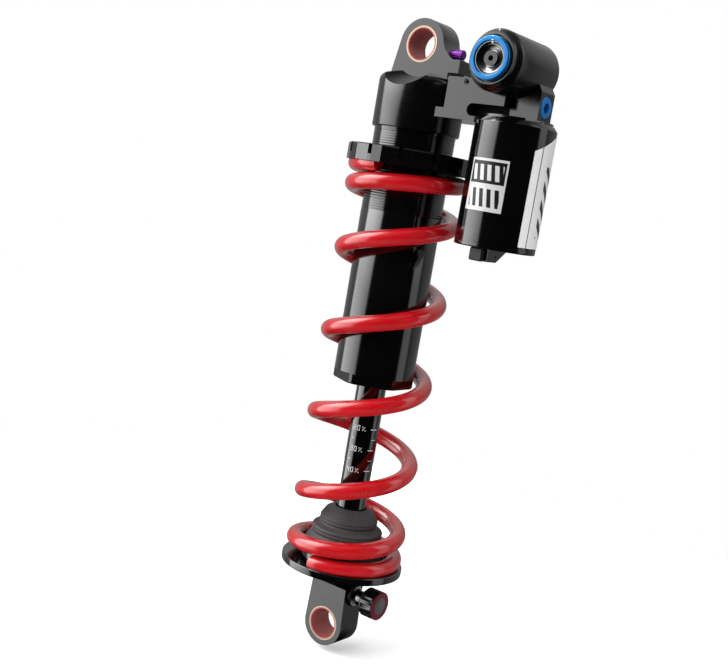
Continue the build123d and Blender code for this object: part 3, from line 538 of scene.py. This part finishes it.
# ---------------------------------------------------------------- stage
AZ, EL, ROLL = 35.231, 6.987, 9.652
TARGET = Vector((-8.677 * MM, 0, -122.56 * MM))
DIST = 496.603 * MM
FOCAL = 1152.432 / 728 * 36

az, el, roll = (math.radians(v) for v in (AZ, EL, ROLL))
back = Vector((math.sin(az) * math.cos(el), -math.cos(az) * math.cos(el), math.sin(el)))
right0 = Vector((math.cos(az), math.sin(az), 0))
up0 = back.cross(right0)
right = right0 * math.cos(roll) + up0 * math.sin(roll)
up = back.cross(right)

cam_data = bpy.data.cameras.new("camera")
cam_data.lens = FOCAL
cam_data.sensor_width = 36
cam_data.clip_start = 0.01
cam = bpy.data.objects.new("camera", cam_data)
bpy.context.scene.collection.objects.link(cam)
m = Matrix((right, up, back)).transposed().to_4x4()
m.translation = TARGET + back * DIST
cam.matrix_world = m
bpy.context.scene.camera = cam

FLOOR_Z = -0.2625
FLOOR_R = 0.36


def floor_material():
    """Pale floor that glows with its own emission, painted light that brightens toward its rim, where it meets the
    white backdrop.
    """
    mat, tree, bsdf = new_material("studio_floor")
    tc = tree.nodes.new("ShaderNodeTexCoord")
    flat = tree.nodes.new("ShaderNodeMapping")
    flat.inputs["Scale"].default_value = (1 / FLOOR_R, 1 / FLOOR_R, 0)
    tree.links.new(tc.outputs["Object"], flat.inputs["Vector"])
    length = add(tree, "ShaderNodeVectorMath", operation="LENGTH")
    tree.links.new(flat.outputs["Vector"], length.inputs[0])
    radius = length.outputs["Value"]
    mottle = noise(tree, coords(tree), 40.0, 3.0)
    base = ramp(tree, mottle, [(0.3, grey(0.80)), (0.7, grey(0.84))])
    tree.links.new(base, bsdf.inputs["Base Color"])
    bsdf.inputs["Roughness"].default_value = 0.9
    bsdf.inputs["Specular IOR Level"].default_value = 0.0
    # painted light: the floor's own emission, weakest under the object and full white toward the rim
    glow = ramp(tree, radius, [(0.0, grey(0.30)), (0.35, grey(0.42)), (0.75, grey(1.0)), (1.0, grey(1.0))])
    tree.links.new(glow, bsdf.inputs["Emission Color"])
    bsdf.inputs["Emission Strength"].default_value = 1.0
    return mat


def build_floor():
    rings, steps = 24, 96
    verts, faces = [(0, 0, FLOOR_Z)], []
    for i in range(1, rings + 1):
        for j in range(steps):
            a = 2 * math.pi * j / steps
            r = FLOOR_R * i / rings
            verts.append((r * math.cos(a), r * math.sin(a), FLOOR_Z))
    for j in range(steps):
        k = (j + 1) % steps
        faces.append((0, 1 + j, 1 + k))
        for i in range(rings - 1):
            a = 1 + i * steps
            faces.append((a + j, a + steps + j, a + steps + k, a + k))
    obj = mesh_object("floor", verts, faces, floor_material(), None, smooth=False)
    obj.visible_glossy = False


build_floor()

CENTRE = Vector((0.01, 0, -0.12))


def softbox(name, azimuth, elevation, distance, width, height, power):
    """An area light aimed at the object; azimuth is measured from the camera's own, positive to its right."""
    a, e = az + math.radians(azimuth), math.radians(elevation)
    d = Vector((math.sin(a) * math.cos(e), -math.cos(a) * math.cos(e), math.sin(e)))
    light = bpy.data.lights.new(name, "AREA")
    light.shape = "RECTANGLE"
    light.size, light.size_y = width, height
    light.energy = power
    obj = bpy.data.objects.new(name, light)
    bpy.context.scene.collection.objects.link(obj)
    obj.location = CENTRE + d * distance
    obj.rotation_mode = "QUATERNION"
    obj.rotation_quaternion = d.to_track_quat("Z", "Y")
    obj.visible_glossy = False


softbox("key", -38, 32, 1.3, 0.8, 0.8, 12)
softbox("fill", 40, 18, 1.5, 0.9, 0.9, 5)
softbox("top", 20, 75, 1.4, 0.9, 0.9, 7)

world = bpy.data.worlds.new("studio")
world.use_nodes = True
bpy.context.scene.world = world
wt = world.node_tree
bg = next(n for n in wt.nodes if n.type == "BACKGROUND")
out = next(n for n in wt.nodes if n.type == "OUTPUT_WORLD")


def along(direction):
    node = wt.nodes.new("ShaderNodeVectorMath")
    node.operation = "DOT_PRODUCT"
    wt.links.new(look.outputs["Generated"], node.inputs[0])
    node.inputs[1].default_value = direction
    return node.outputs["Value"]


# the studio around the object: a tall softbox on the left that is brightest at its far edge, black around the
# camera, a dim strip on the right and the pale backdrop behind; angles run from the camera's own azimuth
look = wt.nodes.new("ShaderNodeTexCoord")
turn = math_node(wt, "ARCTAN2", along((math.cos(az), math.sin(az), 0)), along((math.sin(az), -math.cos(az), 0)))
share = math_node(wt, "MULTIPLY_ADD", turn, 1 / (2 * math.pi), 0.5)
STUDIO = [(-180, 0.30), (-114, 0.30), (-109, 3.0), (-84, 2.7), (-59, 1.40), (-54, 0.004), (65, 0.004), (69, 0.62),
          (89, 0.62), (95, 0.12), (110, 0.22), (150, 0.20), (180, 0.30)]
glow = ramp(wt, share, [((a + 180) / 360, grey(v / 3)) for a, v in STUDIO])
overhead = math_node(wt, "MULTIPLY_ADD", along((0, 0, 1)), 0.35, -0.22, clamp=True)
low = math_node(wt, "MULTIPLY_ADD", along((0, 0, 1)), 2.6, 1.75, clamp=True)
high = math_node(wt, "MULTIPLY_ADD", along((0, 0, 1)), 2.5, -0.4, clamp=True)
lid = math_node(wt, "MULTIPLY_ADD", along((0, 0, 1)), -5.0, 4.75, clamp=True)
heights = math_node(wt, "MULTIPLY", math_node(wt, "MULTIPLY_ADD", high, 3.6, 3.0), math_node(wt, "MULTIPLY", low, lid))
lit = math_node(wt, "MULTIPLY", glow, heights)
wt.links.new(math_node(wt, "ADD", lit, overhead), bg.inputs["Strength"])
bg.inputs["Color"].default_value = (1, 1, 1, 1)
backdrop = wt.nodes.new("ShaderNodeBackground")
backdrop.inputs["Color"].default_value = (1, 1, 1, 1)
backdrop.inputs["Strength"].default_value = 1.0
path = wt.nodes.new("ShaderNodeLightPath")
pick = wt.nodes.new("ShaderNodeMixShader")
wt.links.new(path.outputs["Is Camera Ray"], pick.inputs[0])
wt.links.new(bg.outputs[0], pick.inputs[1])
wt.links.new(backdrop.outputs[0], pick.inputs[2])
wt.links.new(pick.outputs[0], out.inputs["Surface"])

bpy.context.scene.view_settings.view_transform = "Standard"
